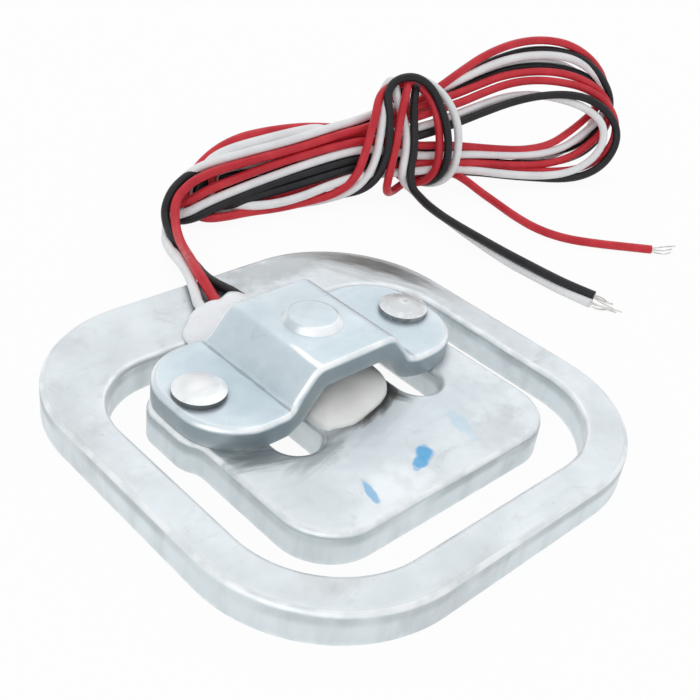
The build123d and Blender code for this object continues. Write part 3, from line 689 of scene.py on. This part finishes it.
            (46.9, 9.8, -1.1), (48.1, 8.0, -1.4), (47.8, 6.2, -1.4), (46.4, 4.5, -1.3),
            (44.4, 3.1, -1.1), (41.3, 2.25, -0.8), (37.5, 2.1, -0.6), (33.6, 2.45, -0.6),
            (30.0, 2.9, -0.5), (25.0, 3.4, -0.3), (20.5, 3.3, 0.6), (16.6, 3.25, 0.8),
            (13.8, 2.85, 0.9), (11.2, 2.4, 0.9), (8.6, 2.05, 0.9), (6.1, 1.75, 0.9),
            (4.2, 1.45, 0.9), (2.7, 1.3, 0.4), (1.5, 1.85, -0.5), (1.35, 2.95, -1.35),
            (2.6, 3.8, -1.6), (5.4, 3.9, -0.9), (9.5, 3.85, -0.05), (14.0, 4.1, 0.0),
            (19.0, 4.9, 0.0), (22.4, 5.4, 0.4), (25.4, 5.9, 0.8), (28.8, 6.8, 0.9),
            (31.4, 7.55, 0.9), (34.5, 8.4, 0.9), (37.6, 8.95, 0.9), (40.8, 9.1, 0.9),
            (43.4, 8.75, 0.9), (45.5, 7.7, 0.9), (46.9, 6.1, 0.9), (47.1, 4.3, 0.9),
            (46.1, 2.5, 0.9), (44.5, 1.3, 0.9), (42.5, 0.6, 0.8), (40.2, 0.45, 0.6),
            (37.8, 0.7, 0.1), (34.9, 1.05, -0.4), (31.7, 1.6, -0.9), (28.2, 2.0, -1.5),
            (25.0, 2.7, -2.3), (20.5, 4.2, -2.5), (16.5, 5.9, -1.9), (12.5, 6.8, -0.7),
            (8.5, 6.5, -0.4), (5.0, 6.05, -0.6), (2.7, 5.2, -1.1), (1.2, 3.8, -1.9),
            (1.1, 2.35, -2.2), (2.0, 1.3, -1.7), (4.5, 1.0, -1.0), (8.5, 0.9, -0.8),
            (12.5, 0.9, -0.6), (15.5, 0.8, 0.0), (17.5, 1.1, 0.9), (18.8, 2.2, 1.6),
            (19.6, 4.0, 2.1), (20.0, 6.0, 2.2), (20.25, 7.8, 2.1), (20.2, 9.4, 1.8),
            (20.8, 10.6, 1.6), (22.0, 11.2, 1.6), (23.5, 11.2, 1.9), (24.8, 10.3, 2.1),
            (25.6, 8.7, 2.3), (26.05, 6.9, 2.5), (26.25, 5.1, 2.5), (26.2, 3.4, 2.3),
            (25.9, 2.0, 1.7), (25.3, 1.2, 0.7), (24.6, 1.1, -0.5), (24.1, 1.4, -1.9),
            (23.6, 2.4, -3.2), (23.2, 4.0, -4.0), (23.0, 6.3, -3.9), (23.2, 8.5, -3.1),
            (23.7, 10.2, -1.8), (24.05, 10.85, -0.3), (23.9, 10.5, 1.1), (23.1, 9.1, 1.8),
            (22.8, 7.6, 2.1), (22.7, 5.8, 2.2), (22.5, 4.0, 2.2), (22.05, 2.5, 2.1),
        ],
        "free": [
            (29.1, 21.3, 1.8), (28.95, 20.2, 1.35), (28.4, 18.2, 1.2), (28.0, 15.8, 1.2),
            (27.85, 13.4, 1.2), (27.8, 10.6, 1.2), (27.8, 7.8, 1.2), (27.9, 5.4, 1.2),
            (28.1, 3.0, 1.15), (28.5, 1.0, 1.05), (29.1, -0.85, 0.95),
        ],
    },
}


def soft_line(name, points, radius, material, smooth=6, sides=5):
    """One open NURBS line in metres, thickened to a round section."""
    curve = bpy.data.curves.new(name, "CURVE")
    curve.dimensions = "3D"
    curve.resolution_u = smooth
    curve.bevel_depth = radius
    curve.bevel_resolution = sides
    curve.use_fill_caps = True
    spline = curve.splines.new("NURBS")
    spline.points.add(len(points) - 1)
    for point, place in zip(spline.points, points):
        point.co = (*place, 1)
    spline.use_endpoint_u = True
    spline.order_u = 3
    curve.materials.append(material)
    ob = bpy.data.objects.new(name, curve)
    bpy.context.scene.collection.objects.link(ob)
    return ob


STRANDS = {
    "white": [
        [(28.52, -0.5, 0.42), (28.8, -1.3, 0.36), (29.4, -1.9, 0.30), (29.9, -2.5, 0.20),
         (30.3, -3.15, 0.14)],
        [(28.58, -0.5, 0.55), (28.9, -1.5, 0.48), (29.2, -2.3, 0.32), (29.8, -2.9, 0.12)],
        [(28.45, -0.5, 0.30), (28.6, -1.5, 0.20), (29.1, -2.0, 0.14), (30.1, -2.4, 0.12)],
    ],
    "black": [
        [(28.95, -0.5, 0.96), (29.5, -1.3, 0.66), (30.05, -1.6, 0.34), (30.6, -1.95, 0.20)],
        [(28.9, -0.5, 1.08), (29.5, -1.2, 0.90), (29.95, -1.35, 0.60), (30.3, -1.7, 0.30)],
        [(29.05, -0.5, 0.85), (29.4, -1.3, 0.50), (29.9, -1.9, 0.24), (30.1, -2.6, 0.12)],
    ],
    "red": [
        [(42.0, 1.95, 0.42), (42.7, 1.4, 0.40), (43.4, 1.0, 0.34), (44.4, 0.9, 0.30)],
        [(42.05, 2.0, 0.52), (42.9, 1.5, 0.60), (43.9, 1.35, 0.50), (45.0, 0.97, 0.40)],
        [(41.95, 1.9, 0.30), (42.6, 1.1, 0.20), (43.3, 0.7, 0.16), (44.0, 0.75, 0.12)],
    ],
}

for colour, route in WIRES.items():
    places = [Vector(p) for p in route["lead"]]
    places += [in_hank(*p) for p in route["turns"]]
    places += [Vector(p) for p in route["free"]]
    wire = soft_line(f"{colour}_wire", [p * MM for p in places], WIRE_RADIUS, skins[colour])
    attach(wire, "root")
    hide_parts(f"{colour}_lead", f"{colour}_free_end")
    if colour == "black":
        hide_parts("wire_hank")
    for number, strand_places in enumerate(STRANDS[colour], 1):
        strand = soft_line(
            f"{colour}_strand_{number}", [Vector(p) * MM for p in strand_places],
            STRAND_RADIUS, tinned, smooth=4, sides=2,
        )
        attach(strand, "root")
    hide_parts(f"{colour}_bare_tip")

# Floor, world and lamps
FLOOR_HALF = 3
FLOOR_Z = -2e-5
WHITE = (1, 1, 1, 1)
floor_mesh = bpy.data.meshes.new("floor")
floor_mesh.from_pydata(
    [(-FLOOR_HALF, -FLOOR_HALF, FLOOR_Z), (FLOOR_HALF, -FLOOR_HALF, FLOOR_Z),
     (FLOOR_HALF, FLOOR_HALF, FLOOR_Z), (-FLOOR_HALF, FLOOR_HALF, FLOOR_Z)],
    [], [(0, 1, 2, 3)],
)
floor = bpy.data.objects.new("floor", floor_mesh)
bpy.context.scene.collection.objects.link(floor)


def seen_ray(tree):
    """1 for rays that end in the picture: camera, glossy and transmission."""
    path = tree.nodes.new("ShaderNodeLightPath")
    seen = path.outputs["Is Camera Ray"]
    for kind in ("Is Glossy Ray", "Is Transmission Ray"):
        either = tree.nodes.new("ShaderNodeMath")
        either.operation = "MAXIMUM"
        tree.links.new(seen, either.inputs[0])
        tree.links.new(path.outputs[kind], either.inputs[1])
        seen = either.outputs[0]
    return seen


def blended(tree, share, plain, seen, output_kind):
    """Ends a node tree in a mix of two shaders: plain, and seen by the share."""
    blend = tree.nodes.new("ShaderNodeMixShader")
    tree.links.new(share, blend.inputs[0])
    tree.links.new(plain.outputs[0], blend.inputs[1])
    tree.links.new(seen.outputs[0], blend.inputs[2])
    out = tree.nodes.new(output_kind)
    tree.links.new(blend.outputs[0], out.inputs["Surface"])


# The floor is mostly white where it is seen, and takes a faint contact shadow.
mat = bpy.data.materials.new("studio_floor")
mat.use_nodes = True
tree = mat.node_tree
tree.nodes.clear()
plain = tree.nodes.new("ShaderNodeBsdfDiffuse")
plain.inputs["Color"].default_value = (0.90, 0.90, 0.90, 1)
glow = tree.nodes.new("ShaderNodeEmission")
glow.inputs["Color"].default_value = WHITE
share = tree.nodes.new("ShaderNodeMath")
share.operation = "MULTIPLY"
share.inputs[1].default_value = 0.94
tree.links.new(seen_ray(tree), share.inputs[0])
blended(tree, share.outputs[0], plain, glow, "ShaderNodeOutputMaterial")
floor_mesh.materials.append(mat)

world = bpy.data.worlds.new("studio")
bpy.context.scene.world = world
world.use_nodes = True
tree = world.node_tree
tree.nodes.clear()
soft = tree.nodes.new("ShaderNodeBackground")
soft.inputs["Color"].default_value = (0.95, 0.98, 1.0, 1)
soft.inputs["Strength"].default_value = 0.72
white = tree.nodes.new("ShaderNodeBackground")
white.inputs["Color"].default_value = WHITE
white.inputs["Strength"].default_value = 1.0
blended(tree, seen_ray(tree), soft, white, "ShaderNodeOutputWorld")


def lamp(name, place, aim, size, power):
    """Round area lamp that points at a place; metres and watts."""
    light = bpy.data.lights.new(name, "AREA")
    light.shape = "DISK"
    light.size = size
    light.energy = power
    ob = bpy.data.objects.new(name, light)
    ob.location = place
    ob.rotation_euler = (Vector(aim) - Vector(place)).to_track_quat("-Z", "Y").to_euler()
    bpy.context.scene.collection.objects.link(ob)


lamp("key", place=(0.16, 0.12, 0.30), aim=(0.005, 0.005, 0), size=0.42, power=0.20)
lamp("fill", place=(-0.26, -0.12, 0.16), aim=(0, 0, 0), size=0.30, power=0.15)

# Camera, fitted to the plate's outline in the photo
PHOTO_PIXELS = 700
FOCAL_PIXELS = 1056.04
SENSOR = 36
AIM = Vector((6.707, 5.634, 0)) * MM
DISTANCE = 80.275
azimuth, elevation, roll = (math.radians(a) for a in (-47.414, 33.556, 8.065))
back = Vector((
    math.sin(azimuth) * math.cos(elevation), -math.cos(azimuth) * math.cos(elevation),
    math.sin(elevation),
))
level_right = Vector((math.cos(azimuth), math.sin(azimuth), 0))
level_up = back.cross(level_right)
right = level_right * math.cos(roll) + level_up * math.sin(roll)
up = level_up * math.cos(roll) - level_right * math.sin(roll)
lens = bpy.data.cameras.new("camera")
lens.sensor_width = SENSOR
lens.lens = SENSOR * FOCAL_PIXELS / PHOTO_PIXELS
lens.clip_start = 0.001
camera = bpy.data.objects.new("camera", lens)
place = Matrix.Translation(AIM + back * DISTANCE * MM)
camera.matrix_world = place @ Matrix((right, up, back)).transposed().to_4x4()
bpy.context.scene.collection.objects.link(camera)
bpy.context.scene.camera = camera
bpy.context.scene.view_settings.view_transform = "Standard"
